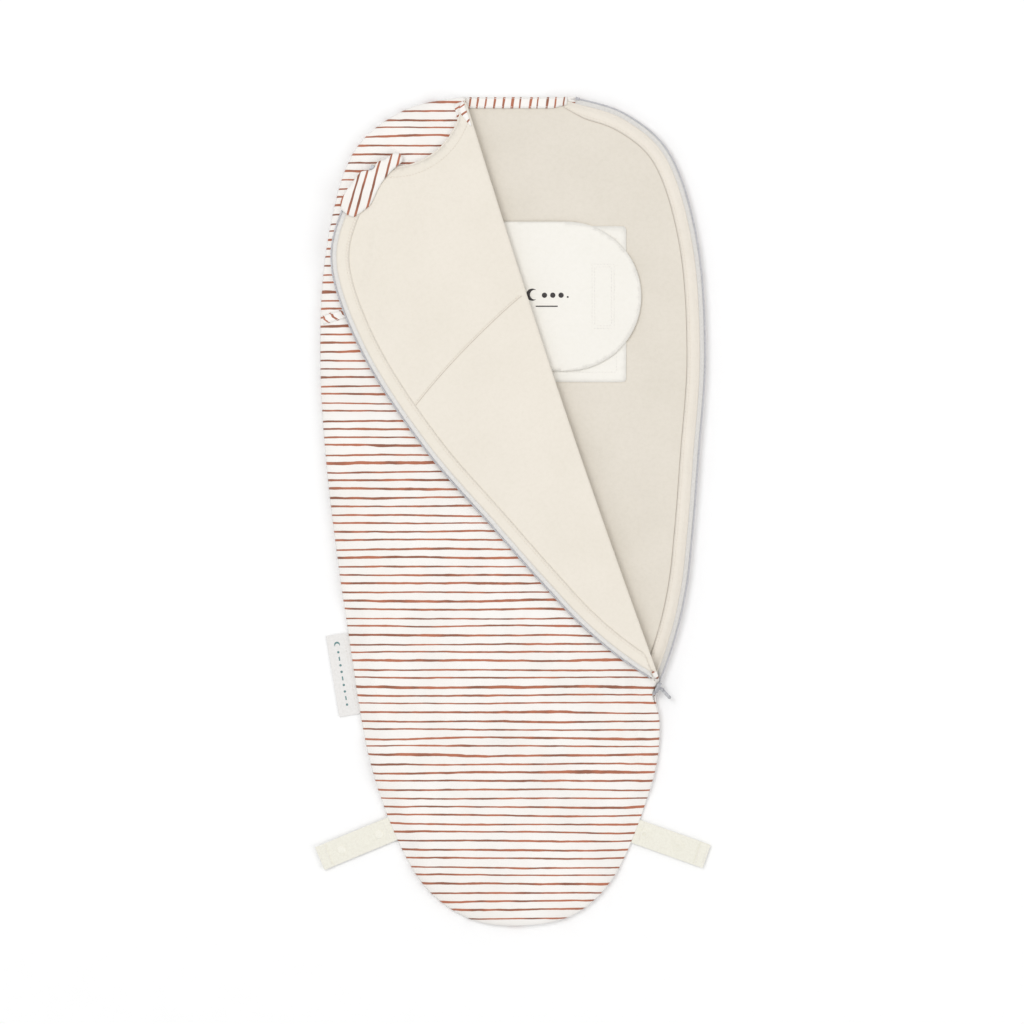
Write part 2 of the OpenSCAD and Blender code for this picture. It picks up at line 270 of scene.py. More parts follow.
FLAP_CREASES = (
    (10, 1.3, (-118, 300), (-120, 250), (-112, 180), (-92, 120)),
    (8, -0.6, (-100, 292), (-104, 240), (-96, 190)),
    (4.5, 2.0, (-110, 302), (-92, 292), (-60, 284), (-30, 282)),
    (4.5, 1.6, (-104, 304), (-92, 280), (-84, 252), (-80, 225)),
    (3.5, 2.0, (-124, 266), (-125, 235), (-135, 200), (-140, 186)),
    (3, 1.4, (-121, 188), (-120, 170), (-121, 150)),
    (9, 0.8, (-60, 330), (-40, 250), (-20, 150), (15, 60)),
    (7, 1.0, (20, 20), (60, -50), (100, -115)),
    (8, -0.4, (-30, 60), (20, -10), (70, -85)),
)


def flap_folds(xy):
    folds = ripple(xy, 45, 0.35, 4.1) + ripple(xy, 18, 0.12, 2.9)
    return np.maximum(creased(xy, folds, FLAP_CREASES), -0.2 * MM)


BACK_CREASES = (
    (12, 1.4, (60, 100), (95, 20), (120, -60)),
    (9, -0.5, (82, 60), (108, 0), (128, -70)),
    (5, 1.2, (118, -70), (126, -110), (130, -140)),
    (14, 0.6, (110, 230), (135, 170), (142, 100)),
    (4, 1.3, (106, 152), (124, 142), (146, 134)),
    (4, 1.1, (104, 118), (122, 112), (140, 100)),
    (4, 1.0, (88, 262), (82, 280), (80, 300)),
    (7, 0.8, (20, 330), (50, 322), (90, 330)),
)


def back_folds(xy):
    folds = ripple(xy, 55, 0.5, 9.2) + ripple(xy, 20, 0.15, 5.5)
    return np.maximum(creased(xy, folds, BACK_CREASES), -0.4 * MM)


# ---------- the shape of each panel ----------

RIM_WIDTH = 16 * MM
ROLL = 2.5 * MM
ROLL_BULGE = 1.2 * MM
BOW = 4 * MM
FLAP_DROP = 0.6 * MM
FOLD_RISE = 0.35 * MM


def dome(x):
    x = np.clip(x, 0, 1)
    return np.sqrt(1 - (1 - x) ** 2)


def near_trims(xy):
    """1 beside the straps and the label, easing to 0 away from them."""
    gap = np.full(len(xy), 1e9)
    for joint, half in (("left_strap_fold", 11), ("right_strap_fold", 11), ("label_fold", 37)):
        root = np.array(joints[joint]["pos_m"][:2])
        along = np.array(joints[joint]["axis"][:2])
        reach = np.clip((xy - root) @ along, -half * MM, half * MM)
        gap = np.minimum(gap, np.linalg.norm(xy - root - reach[:, None] * along, axis=1))
    return 1 - ease((gap - 14 * MM) / (20 * MM))


def sewn_height(xy, closed_z):
    """Height of the sewn front, domed up from its seam, flatter beside the sewn-in trims."""
    depth, along = seam_place(xy)
    depth = np.maximum(depth - (OUTER_Z - closed_z) * 1.2, 0)
    rim = rim_height(along) - (OUTER_Z - closed_z) * 0.5
    slope = np.clip((depth - 1 * MM) / RIM_WIDTH, 0, 1)
    share = near_trims(xy)
    rise = dome(depth / RIM_WIDTH) * (1 - share) + slope * share
    return rim + (closed_z - rim) * rise + sewn_folds(xy) * rise


def fold_coordinates(xy):
    """How far along the fold and how far to its right side each point is."""
    away = xy - FOLD_START
    return away @ FOLD_DIR, away @ FOLD_SIDE


def from_fold(s, w):
    """The points at the distances s along the fold and w to its right side."""
    across = np.multiply.outer(w, FOLD_SIDE)
    return FOLD_START + s[:, None] * FOLD_DIR + across


def folded(xy, closed_z):
    """Where a point of the closed front lies with the zipped side folded open.
    closed_z is its height in the flat middle of the closed front."""
    s, w = fold_coordinates(xy)
    turn = np.clip(w / ROLL, -1, 1) * math.pi / 2
    roll = -ROLL + (ROLL + ROLL_BULGE) * np.cos(turn)
    across = np.where(np.abs(w) < ROLL, roll, -np.abs(w))
    bow = BOW * np.sin(math.pi * np.clip(s / FOLD_LENGTH, 0, 1)) * np.exp(-((w / (35 * MM)) ** 2))
    lies = from_fold(s, across - bow)
    lower = sewn_height(lies, closed_z)
    upper = flap_height(lies, closed_z)
    share = (1 + np.sin(turn)) / 2
    return np.column_stack([lies, lower * (1 - share) + upper * share])


def flap_height(lies, closed_z):
    """Height of a layer of the flap where it lies folded back."""
    slack = OUTER_Z - sewn_height(lies, OUTER_Z)
    return 2 * FOLD_Z - closed_z + flap_folds(lies) - np.clip(slack * 0.5, 0, FLAP_DROP)


def back_height(xy, level):
    """Height of a back panel that lies flat at level and turns up at the edge."""
    depth, along = seam_place(xy)
    rim = rim_height(along) - 1.0 * MM + (level - BACK_LINING_Z) * 0.6
    width = 6 * MM + 3 * MM * zipness(along)
    turn_up = 1 - ease((depth - 1.5 * MM) / width)
    calm = ease((depth - 4 * MM) / (14 * MM))
    folds = back_folds(xy) * calm if level > BACK_OUTER_Z + 0.1 * MM else 0
    return level + np.maximum(rim - level, 0) * turn_up + folds


# ---------- mesh tools ----------

UV_MAP = "cloth"
FOLD_LINES = (-7, -4.5, -2.5, -2, -1.5, -1, -0.5, 0, 0.5, 1, 1.5, 2, 2.5, 4.5, 7)
FOLD_RAILS = len(FOLD_LINES)


def make_piece(name, points, faces, material, uv=None, smooth=True):
    mesh = bpy.data.meshes.new(name)
    mesh.from_pydata([tuple(p) for p in points], [], faces)
    if uv is not None:
        layer = mesh.uv_layers.new(name=UV_MAP)
        corners = np.zeros(len(mesh.loops), int)
        mesh.loops.foreach_get("vertex_index", corners)
        layer.data.foreach_set("uv", np.asarray(uv, float)[corners].ravel())
    mesh.polygons.foreach_set("use_smooth", [smooth] * len(mesh.polygons))
    mesh.materials.append(material)
    mesh.validate()
    piece = bpy.data.objects.new(name, mesh)
    bpy.context.collection.objects.link(piece)
    return piece


def thicken(piece, thickness, offset=0.0):
    solid = piece.modifiers.new("thickness", "SOLIDIFY")
    solid.thickness = thickness
    solid.offset = offset
    return piece


def finish_piece(piece, body, nodes, area=None):
    """Says what a finished piece rides on and what it stands for. Without a body, the piece is
    left unattached.
    The area argument, how big its cloth is, is not used."""
    if body:
        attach(piece, body)
    if nodes:
        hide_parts(*([nodes] if isinstance(nodes, str) else nodes))
    return piece


def rectangle(low, high, inset_by=0.0):
    x0, y0, x1, y1 = low.x + inset_by, low.y + inset_by, high.x - inset_by, high.y - inset_by
    return np.array([(x0, y0), (x1, y0), (x1, y1), (x0, y1)])


def flat_patch(loop, spacing, rails=()):
    """Triangles that fill a closed loop, with extra points along the rails."""
    loop = np.asarray(loop)
    low, high = loop.min(0), loop.max(0)
    row = spacing * math.sqrt(3) / 2
    grid = []
    for j, y in enumerate(np.arange(low[1], high[1], row)):
        xs = np.arange(low[0] + (j % 2) * spacing / 2, high[0], spacing)
        grid.append(np.column_stack([xs, np.full(len(xs), y)]))
    grid = np.concatenate(grid)
    keep = inside(grid, loop) & (distance_to(grid, closed(loop)) > 0.55 * spacing)
    for rail in rails:
        keep &= distance_to(grid, rail) > 0.6 * spacing
    parts = [loop, grid[keep]]
    for i, rail in enumerate(rails):
        use = inside(rail, loop) & (distance_to(rail, closed(loop)) > 0.6 * MM)
        # A rail along the rim leaves out what would crowd the rails along the fold
        for other in rails[:i] if i >= FOLD_RAILS else []:
            use &= distance_to(rail, other) > 0.45 * MM
        parts.append(rail[use])
    points = np.concatenate(parts)
    n = len(loop)
    edges = [(i, (i + 1) % n) for i in range(n)]
    out = geometry.delaunay_2d_cdt([Vector(p) for p in points], edges, [], 1, 1e-7)
    return np.array([tuple(v) for v in out[0]]), [tuple(f) for f in out[2]]


def inside(points, loop):
    hit = np.zeros(len(points), bool)
    x, y = points[:, 0], points[:, 1]
    for a, b in zip(loop, np.roll(loop, -1, axis=0)):
        if a[1] != b[1]:
            crosses = (a[1] > y) != (b[1] > y)
            at = (b[0] - a[0]) * (y - a[1]) / (b[1] - a[1]) + a[0]
            hit ^= crosses & (x < at)
    return hit


def distance_to(points, path):
    return nearest(points, path)[0]


def ring_faces(count, n):
    """Faces that join count rings of n points each, with a cap at both ends."""
    faces = [
        (i * n + j, i * n + (j + 1) % n, (i + 1) * n + (j + 1) % n, (i + 1) * n + j)
        for i in range(count - 1) for j in range(n)
    ]
    return faces + [tuple(range(n - 1, -1, -1)), tuple((count - 1) * n + j for j in range(n))]


def joined(parts):
    """Several (points, faces) as one."""
    points, faces = [], []
    for more, more_faces in parts:
        faces += [tuple(i + len(points) for i in face) for face in more_faces]
        points += list(more)
    return np.array(points), faces


def turned(u, v, angle):
    """Two rows of map coordinates, turned by an angle."""
    c, s = math.cos(angle), math.sin(angle)
    return np.column_stack([u * c - v * s, u * s + v * c])


def swept_strip(name, path, section, place, material):
    """A strip along a path. The section is a list of (inset, height) corners, and
    place(xy, height) gives the point in the row frame."""
    side = inward(path)
    points = np.stack([place(path + inset_by * side, height) for inset_by, height in section], 1)
    count, n = points.shape[:2]
    insets = np.array([inset_by for inset_by, _ in section])
    uv = np.column_stack([np.repeat(lengths(path), n), np.tile(insets, count)])
    return make_piece(name, points.reshape(-1, 3), ring_faces(count, n), material, uv)


def tube_points(line, radius, sides=6, flat=1.0):
    """Rings of points round a 3-D line, and the faces between them."""
    t = np.gradient(line, axis=0)
    t /= np.linalg.norm(t, axis=1)[:, None] + 1e-12
    up = np.tile([0.0, 0.0, 1.0], (len(line), 1))
    a = np.cross(t, up)
    a /= np.linalg.norm(a, axis=1)[:, None] + 1e-9
    b = np.cross(a, t)
    radius = np.broadcast_to(radius, (len(line),))
    angles = np.arange(sides) * 2 * math.pi / sides
    rings = (
        line[:, None, :]
        + radius[:, None, None] * np.cos(angles)[None, :, None] * a[:, None, :]
        + radius[:, None, None] * flat * np.sin(angles)[None, :, None] * b[:, None, :]
    )
    return rings.reshape(-1, 3), ring_faces(len(line), sides)


def stripes_run_on(piece):
    """Lays the cloth map straight over a piece, so that its stripes meet the front's."""
    mesh = piece.data
    layer = mesh.uv_layers[UV_MAP]
    for loop in mesh.loops:
        x, y, _ = mesh.vertices[loop.vertex_index].co
        layer.data[loop.index].uv = (x, y)


def stitch_row(name, line, material, pitch=2.9 * MM, length=2.1 * MM, radius=0.24 * MM):
    """A row of separate thread stitches that lie along a 3-D line."""
    line = resample(line, pitch / 4)
    along = lengths(line)
    parts, uv = [], []
    at = pitch / 2
    while at + length < along[-1]:
        part = points_at(line, along, np.linspace(at, at + length, 5))
        part[:, 2] += radius * np.array([-0.9, 0.35, 0.6, 0.35, -0.9])
        parts.append(tube_points(part, radius * np.array([0.5, 1, 1.1, 1, 0.5])))
        uv += [(at, 0.0)] * len(parts[-1][0])
        at += pitch
    return make_piece(name, *joined(parts), material, uv)


# ---------- materials ----------


class Look:
    """A material's node tree, with short calls for the nodes used here."""

    def __init__(self, name, roughness, metallic=0.0, sheen=0.0, coat=0.0):
        self.material = bpy.data.materials.new(name)
        self.material.use_nodes = True
        self.tree = self.material.node_tree
        self.tree.nodes.clear()
        self.shader = self.add("BsdfPrincipled", {
            "Roughness": roughness, "Metallic": metallic, "Sheen Weight": sheen,
            "Sheen Roughness": 0.5, "Coat Weight": coat,
        })
        self.add("OutputMaterial", {"Surface": self.shader.outputs[0]})
        self.uv = self.add("UVMap", {}, uv_map=UV_MAP).outputs["UV"]
        self.place = self.add("TexCoord", {}).outputs["Object"]

    def add(self, kind, inputs, **settings):
        """Adds a node with its settings, and fills its inputs by name or by number."""
        node = self.tree.nodes.new("ShaderNode" + kind)
        for setting, value in settings.items():
            setattr(node, setting, value)
        for socket, value in inputs.items():
            self.put(node.inputs[socket], value)
        return node

    def put(self, socket, value):
        if isinstance(value, bpy.types.NodeSocket):
            self.tree.links.new(value, socket)
        else:
            socket.default_value = value

    def math(self, kind, *values):
        return self.add("Math", dict(enumerate(values)), operation=kind).outputs[0]

    def scaled(self, vector, x, y, z=1.0):
        return self.add("Mapping", {"Vector": vector, "Scale": (x, y, z)}).outputs[0]

    def split(self, vector):
        return self.add("SeparateXYZ", {0: vector}).outputs[:2]

    def noise(self, vector, scale, detail=2.0, roughness=0.5):
        inputs = {"Vector": vector, "Scale": scale, "Detail": detail, "Roughness": roughness}
        return self.add("TexNoise", inputs).outputs["Fac"]

    def wave(self, value, length):
        return self.math("SINE", self.math("MULTIPLY", value, 2 * math.pi / length))

    def ramp(self, value, low, high, to_low=0.0, to_high=1.0):
        inputs = {"Value": value, "From Min": low, "From Max": high, "To Min": to_low,
                  "To Max": to_high}
        return self.add("MapRange", inputs, interpolation_type="SMOOTHSTEP").outputs[0]

    def mix(self, share, *colours):
        """A colour between two others, each given as a socket or as display values."""
        a, b = (c if isinstance(c, bpy.types.NodeSocket) else linear(*c) for c in colours)
        return self.add("Mix", {0: share, 6: a, 7: b}, data_type="RGBA").outputs[2]

    def colour(self, share, a, b):
        self.put(self.shader.inputs["Base Color"], self.mix(share, a, b))

    def bump(self, height, strength, distance):
        """Adds a layer of relief on top of the layers before it."""
        inputs = {"Height": height, "Strength": strength, "Distance": distance}
        normal = self.shader.inputs["Normal"]
        if normal.links:
            inputs["Normal"] = normal.links[0].from_socket
        self.put(normal, self.add("Bump", inputs).outputs[0])

    def rough(self, value):
        self.put(self.shader.inputs["Roughness"], value)


def linear(*shown):
    """A colour given in display values from 0 to 255, as the shader wants it."""
    return (*(
        c / 255 / 12.92 if c / 255 <= 0.04045 else ((c / 255 + 0.055) / 1.055) ** 2.4
        for c in shown
    ), 1.0)


def knit(look, wale=0.85 * MM, course=0.62 * MM, strength=0.35):
    """The V-shaped loops of plain jersey, as height."""
    x, y = look.split(look.uv)
    across = look.math("ABSOLUTE", look.wave(x, 2 * wale))
    lean = look.math("MULTIPLY", across, 0.4 * course)
    rows = look.wave(look.math("ADD", y, lean), course)
    loops = look.math("MULTIPLY_ADD", rows, 0.4, across)
    fuzz = look.noise(look.uv, 900, 2)
    look.bump(look.math("MULTIPLY_ADD", fuzz, 0.8, loops), strength, 0.12 * MM)
    soft = look.noise(look.uv, 45, 3, 0.6)
    look.bump(soft, 0.25, 1.2 * MM)


def plain_jersey(name, base, shade, strength=0.35):
    look = Look(name, 0.92, sheen=0.15)
    knit(look, strength=strength)
    cloudy = look.ramp(look.noise(look.uv, 14, 4, 0.6), 0.3, 0.75)
    fine = look.ramp(look.noise(look.uv, 260, 3, 0.7), 0.35, 0.75)
    tone = look.math("MULTIPLY_ADD", fine, 0.45, look.math("MULTIPLY", cloudy, 0.55))
    look.colour(tone, base, shade)
    look.rough(look.ramp(fine, 0.0, 1.0, 0.86, 0.96))
    return look.material


def striped_jersey(name):
    """Warm white jersey with thin, hand-drawn terracotta stripes."""
    look = Look(name, 0.92, sheen=0.15)
    knit(look)
    _, y = look.split(look.uv)
    period = 7.75 * MM
    # The stripes wander, differ in spacing and wobble
    for scale, detail, reach in (((7, 70), 1, 5.0), ((0.4, 95), 1, 4.5), ((55, 120), 2, 1.3)):
        shift = look.noise(look.scaled(look.uv, *scale), 1.0, detail)
        y = look.math("MULTIPLY_ADD", look.math("SUBTRACT", shift, 0.5), reach * MM, y)
    step = look.math("FRACT", look.math("ADD", look.math("DIVIDE", y, period), 100.0))
    gap = look.math("MULTIPLY", look.math("ABSOLUTE", look.math("SUBTRACT", step, 0.5)), period)
    thick = look.noise(look.scaled(look.uv, 90, 60), 1.0, 2)
    half = look.math("MULTIPLY_ADD", thick, 0.5 * MM, 0.66 * MM)
    edge = look.math("SUBTRACT", gap, half)
    rough_edge = look.noise(look.uv, 1400, 2, 0.7)
    edge = look.math("MULTIPLY_ADD", look.math("SUBTRACT", rough_edge, 0.5), 0.25 * MM, edge)
    ink = look.ramp(edge, -0.16 * MM, 0.16 * MM, 1.0, 0.0)
    tone = look.ramp(look.noise(look.scaled(look.uv, 38, 55), 1.0, 2), 0.38, 0.66)
    stripe = look.mix(tone, (186, 114, 86), (144, 94, 74))
    cloudy = look.ramp(look.noise(look.uv, 16, 4, 0.6), 0.3, 0.75)
    white = look.mix(cloudy, (250, 247, 243), (243, 239, 234))
    look.colour(ink, white, stripe)
    look.rough(look.ramp(rough_edge, 0.0, 1.0, 0.86, 0.96))
    return look.material


def woven(name, base, shade, rib, strength=0.5, roughness=0.8, diagonal=0.0):
    """Narrow woven tape: ribs along or across it, or diagonal as in twill. Its colour has painted
    shade in the dips between the ribs.
    """
    look = Look(name, roughness, sheen=0.1)
    x, y = look.split(look.uv)
    lean = look.math("MULTIPLY_ADD", x, diagonal, y)
    ribs = look.wave(lean, rib)
    look.bump(look.math("MULTIPLY_ADD", look.wave(x, rib * 0.8), 0.35, ribs), strength, 0.15 * MM)
    fine = look.noise(look.uv, 420, 3, 0.7)
    # Painted shade: the colour darkens in the dips between the ribs, where shade falls, on top of
    # a random tone
    painted_dip_shade = look.ramp(ribs, -1.0, 0.4, 0.5, 0.0)
    tone = look.math("MULTIPLY_ADD", look.ramp(fine, 0.35, 0.7), 0.5, painted_dip_shade)
    look.colour(tone, base, shade)
    look.rough(look.ramp(fine, 0.2, 0.8, roughness - 0.08, roughness + 0.08))
    return look.material


def plastic(name, base, shade, roughness, coat=0.0):
    look = Look(name, roughness, coat=coat)
    fine = look.noise(look.place, 600, 3)
    look.colour(look.ramp(fine, 0.3, 0.8), base, shade)
    look.rough(look.ramp(fine, 0.2, 0.8, roughness - 0.06, roughness + 0.08))
    look.bump(fine, 0.12, 0.05 * MM)
    return look.material


def cast_metal(name):
    """Satin grey zip hardware, rubbed brighter where it is handled."""
    look = Look(name, 0.4, metallic=0.85)
    worn = look.ramp(look.noise(look.place, 260, 4, 0.6), 0.4, 0.7)
    look.colour(worn, (168, 168, 172), (205, 205, 207))
    scratches = look.noise(look.scaled(look.place, 500, 2600, 900), 1.0, 2)
    look.bump(scratches, 0.25, 0.05 * MM)
    look.rough(look.ramp(scratches, 0.2, 0.8, 0.3, 0.5))
    return look.material


def fuzzy(name):
    """Soft hook-and-loop tape."""
    look = Look(name, 0.95, sheen=0.4)
    pile = look.noise(look.uv, 1500, 4, 0.8)
    look.bump(pile, 0.8, 0.4 * MM)
    look.colour(look.ramp(pile, 0.35, 0.7), (238, 235, 228), (250, 249, 245))
    return look.material


striped = striped_jersey("striped_jersey")
lining = plain_jersey("lining_jersey", (238, 231, 219), (232, 225, 212))
back_lining_look = plain_jersey("back_lining_jersey", (230, 223, 211), (222, 215, 202))
facing = plain_jersey("facing_jersey", (238, 231, 220), (231, 224, 212))
wrap_look = plain_jersey("wrap_jersey", (245, 242, 235), (240, 237, 229), 0.25)
tape_look = woven("zip_tape", (240, 238, 235), (220, 218, 214), 0.7 * MM)
twill = woven("twill_tape", (247, 245, 233), (233, 230, 217), 1.0 * MM, 0.45, 0.85, 0.8)
label_look = woven("woven_label", (240, 238, 236), (229, 227, 224), 0.5 * MM, 0.3, 0.65)
coil_look = plastic("zip_coil", (216, 216, 219), (188, 188, 193), 0.4)
snap_look = plastic("snap_plastic", (244, 242, 231), (236, 233, 220), 0.3, 0.3)
metal = cast_metal("zip_metal")
hook_look = fuzzy("hook_and_loop")
thread = woven("thread", (238, 231, 220), (214, 204, 190), 0.5 * MM, 0.6, 0.75)
thread_white = woven("thread_white", (246, 244, 240), (226, 222, 216), 0.5 * MM, 0.6, 0.75)
mark_teal = woven("mark_teal", (120, 160, 160), (96, 138, 140), 0.4 * MM, 0.4, 0.7)
mark_dark = woven("mark_dark", (70, 66, 66), (52, 48, 48), 0.4 * MM, 0.3, 0.8)
# Painted shade: a darker cream for seam tubes, standing in for the shadow line along a seam
seam_painted_shade = woven("seam_painted_shade", (222, 213, 200), (206, 197, 184), 0.6 * MM, 0.4, 0.9)

# ---------- camera, light and floor ----------


# The display values of 0.97 and 0.99 in the shader
FLOOR_DARK = (251.6073,) * 3
FLOOR_LIGHT = (253.8758,) * 3


def set_stage():
    lens, sensor, view_width = 200 * MM, 36 * MM, 924.2 * MM
    camera = bpy.data.cameras.new("camera")
    camera.lens = lens / MM
    camera.sensor_width = sensor / MM
    camera.clip_end = 50
    holder = bpy.data.objects.new("camera", camera)
    holder.location = (-1.35 * MM, -1.35 * MM, view_width * lens / sensor + 10 * MM)
    bpy.context.collection.objects.link(holder)
    bpy.context.scene.camera = holder

    floor_look = Look("floor", 0.9)
    grain = floor_look.noise(floor_look.place, 40, 3)
    floor_look.colour(grain, FLOOR_DARK, FLOOR_LIGHT)
    half = 6.0
    corners = [(x, y, -0.3 * MM) for x, y in
               ((-half, -half), (half, -half), (half, half), (-half, half))]
    make_piece("floor", corners, [(0, 1, 2, 3)], floor_look.material, smooth=False)

    world = bpy.data.worlds.new("studio")
    world.use_nodes = True
    world.node_tree.nodes["Background"].inputs[0].default_value = (1, 1, 1, 1)
    world.node_tree.nodes["Background"].inputs[1].default_value = 0.69
    bpy.context.scene.world = world
    bpy.context.scene.view_settings.view_transform = "Standard"

    def area(name, place, size, power):
        light = bpy.data.lights.new(name, "AREA")
        light.shape = "DISK"
        light.size = size
        light.energy = power
        lamp = bpy.data.objects.new(name, light)
        lamp.location = place
        lamp.rotation_euler = (-Vector(place)).to_track_quat("-Z", "Y").to_euler()
        bpy.context.collection.objects.link(lamp)

    area("key", (-1.4, 1.1, 3.6), 2.0, 48)
    area("fill", (2.6, -1.2, 2.4), 2.4, 23)


set_stage()

# ---------- the bag's cloth ----------


def neckline_arc():
    """The front neckline when the bag is closed, from the zip's top to the fold."""
    dip = 26 * MM
    left = np.array([-46.5 * MM, outline[top_i][1]])
    right = outline[top_i]
    half = (right[0] - left[0]) / 2
    radius = (half * half + dip * dip) / (2 * dip)
    centre = np.array([right[0] - half, right[1] - dip + radius])
    reach = math.asin(min(1.0, half / radius))
    return arc(centre, radius, -math.pi / 2 + reach, -math.pi / 2 - reach, 40)


def panel_loop(sewn_inset, zip_inset, step, front):
    """A panel's edge, anticlockwise, with its own inset along the zip and the seam."""
    path = resample(closed_outline, step)[:-1]
    around = np.concatenate([path[-1:], path, path[:1]])
    side = inward(around)[1:-1]
    along = np.linspace(0, rim_length, len(path), endpoint=False)
    share = zipness(along)
    loop = path + (sewn_inset + (zip_inset - sewn_inset) * share)[:, None] * side
    if not front:
        return loop
    neck = neckline_arc()
    centre = neck_centre(neck)
    keep = np.linalg.norm(loop - centre, axis=1) > np.linalg.norm(neck[0] - centre)
    first = int(np.argmax(~keep))
    count = int((~keep).sum())
    neck = resample(neck, step)
    return np.concatenate([loop[:first], neck[inside(neck, loop)], loop[first + count:]])


def neck_centre(neck):
    a, b, c = neck[0], neck[len(neck) // 2], neck[-1]
    rows = np.array([2 * (b - a), 2 * (c - a)])
    return np.linalg.solve(rows, np.array([b @ b - a @ a, c @ c - a @ a]))


def fold_rails(step):
    """Lines of points along the fold, close together where the cloth rolls over."""
    return [from_fold(np.arange(0, FOLD_LENGTH, step), w * MM) for w in FOLD_LINES]


def rim_rails(sewn_inset, zip_inset):
    """Lines of points beside a panel's edge, close together where the cloth turns down."""
    return [
        panel_loop(sewn_inset + d * MM, zip_inset + d * MM, 3 * MM, False)
        for d in (0.9, 2.0, 3.6, 6.0)
    ]


def front_sheet(name, closed_z, sewn_inset, zip_inset, material, nodes):
    loop = panel_loop(sewn_inset, zip_inset, 3 * MM, True)
    rails = fold_rails(4 * MM) + rim_rails(sewn_inset, zip_inset)
    xy, faces = flat_patch(loop, 4.2 * MM, rails)
    piece = make_piece(name, folded(xy, closed_z), faces, material, xy)
    thicken(piece, CLOTH)
    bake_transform(piece)
    finish_piece(piece, None, nodes,
                 abs(signed_area(loop)))


def back_sheet(name, level, sewn_inset, zip_inset, material, node):
    loop = panel_loop(sewn_inset, zip_inset, 3 * MM, False)
    xy, faces = flat_patch(loop, 4.6 * MM, rim_rails(sewn_inset, zip_inset))
    points = np.column_stack([xy, back_height(xy, level)])
    piece = make_piece(name, points, faces, material, xy)
    thicken(piece, CLOTH)
    finish_piece(piece, "bag", node, abs(signed_area(loop)))


back_sheet("back_outer_cloth", BACK_OUTER_Z, 0.2 * MM, 3 * MM, striped, "back_outer")
back_sheet("back_lining_cloth", BACK_LINING_Z, 1.5 * MM, FACING_OUTER, back_lining_look,
           "back_lining")
front_sheet("front_outer_cloth", OUTER_Z, 0.2 * MM, 3 * MM, striped,
            ["front_outer", "flap_outer"])
front_sheet("front_lining_cloth", LINING_Z, 1.5 * MM, FACING_OUTER - 0.5 * MM, lining,
            ["front_lining", "flap_lining"])

# ---------- trims along the edges ----------


def ribbon(name, rows, material, uv_turn, thickness, body, nodes):
    """A strip of cloth from rows of 3-D points that run side by side."""
    rows = np.array(rows)
    n, m = rows.shape[:2]
    along = lengths(rows[n // 2])
    across = lengths(rows[:, m // 2])
    uv = turned(np.tile(along, n), np.repeat(across, m), math.radians(uv_turn))
    faces = [
        (i * m + j, i * m + j + 1, (i + 1) * m + j + 1, (i + 1) * m + j)
        for i in range(n - 1) for j in range(m - 1)
    ]
    piece = thicken(make_piece(name, rows.reshape(-1, 3), faces, material, uv), thickness)
    finish_piece(piece, body, nodes)


def inset_rows(path, insets, place):
    side = inward(path)
    return [place(path + d * side) for d in insets]


def over_back(lift):
    return lambda xy: np.column_stack([xy, back_height(xy, BACK_LINING_Z) + lift])


def over_front(lift):
    return lambda xy: folded(xy, OUTER_Z + lift)


ROLL_CLEAR = 3.2 * MM


def off_roll(xy):
    """The same points of the closed front, kept on the flap's side of the roll at the fold."""
    s, w = fold_coordinates(xy)
    return from_fold(s, np.maximum(w, ROLL_CLEAR))


def over_flap_lining(lift):
    """On the lining of the flap, for points of the closed front."""
    return lambda xy: folded(off_roll(xy), LINING_Z - lift)


def over_flap(lift):
    """On the lining of the flap, for points where the folded flap lies."""
    return lambda xy: np.column_stack([xy, flap_height(xy, LINING_Z) + lift])


zip_path = resample(zip_line, 3 * MM)
tip_start = int(np.argmax(lengths(zip_path) > 6.5 * MM))
flap_zip_path = zip_path[tip_start:]
facing_insets = np.linspace(FACING_OUTER - 1.8 * MM, FACING_INNER, 7)
band_low, band_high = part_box("back_neck_band")


def facing_line(inset_by, lift):
    """A line along the zip facing, its top end drawn in under the neck band."""
    line = zip_path + inset_by * inward(zip_path)
    share = (inset_by - FACING_OUTER) / (FACING_INNER - FACING_OUTER)
    end = np.array([band_high.x - (9 - 4 * share) * MM, band_high.y - (1.5 + 4.5 * share) * MM])
    line = line[:-4]
    tail = line[-1] + np.linspace(0, 1, 13)[1:, None] * (end - line[-1])
    return over_back(lift)(smoothed(np.concatenate([line, tail]), 6))


facing_rows = [
    facing_line(d, (0.85 + 0.3 * (k < 2)) * MM) for k, d in enumerate(facing_insets)
]
ribbon("back_facing_cloth", facing_rows, facing, 0, 0.4 * MM, "bag", "back_zip_facing")
ribbon("flap_facing_cloth", inset_rows(flap_zip_path, facing_insets, over_flap_lining(0.8 * MM)),
       lining, 0, 0.4 * MM, "flap", "flap_zip_facing")


def tape(name, path, profile, over, body):
    """A zip tape from its profile of (inset, lift) in millimetres."""
    side = inward(path)
    rows = [over(lift * MM)(path + d * MM * side) for d, lift in profile]
    ribbon(name + "_tape_cloth", rows, tape_look, 0, 0.4 * MM, body, name + "_zip_tape")


tape("back", zip_path,
     [(9.2, 0.4), (7.5, 0.45), (5.6, 0.6), (4.0, 0.85), (3.0, 1.15), (2.2, 1.35)],
     over_back, "bag")
tape("flap", flap_zip_path, [(9.2, 0.35), (7.0, 0.35), (5.0, 0.3), (3.4, 0.35), (2.2, 0.5)],
     over_flap_lining, "flap")

COIL_PITCH = 1.3 * MM
COIL_HALF = 0.75 * MM
WIRE = 0.34 * MM


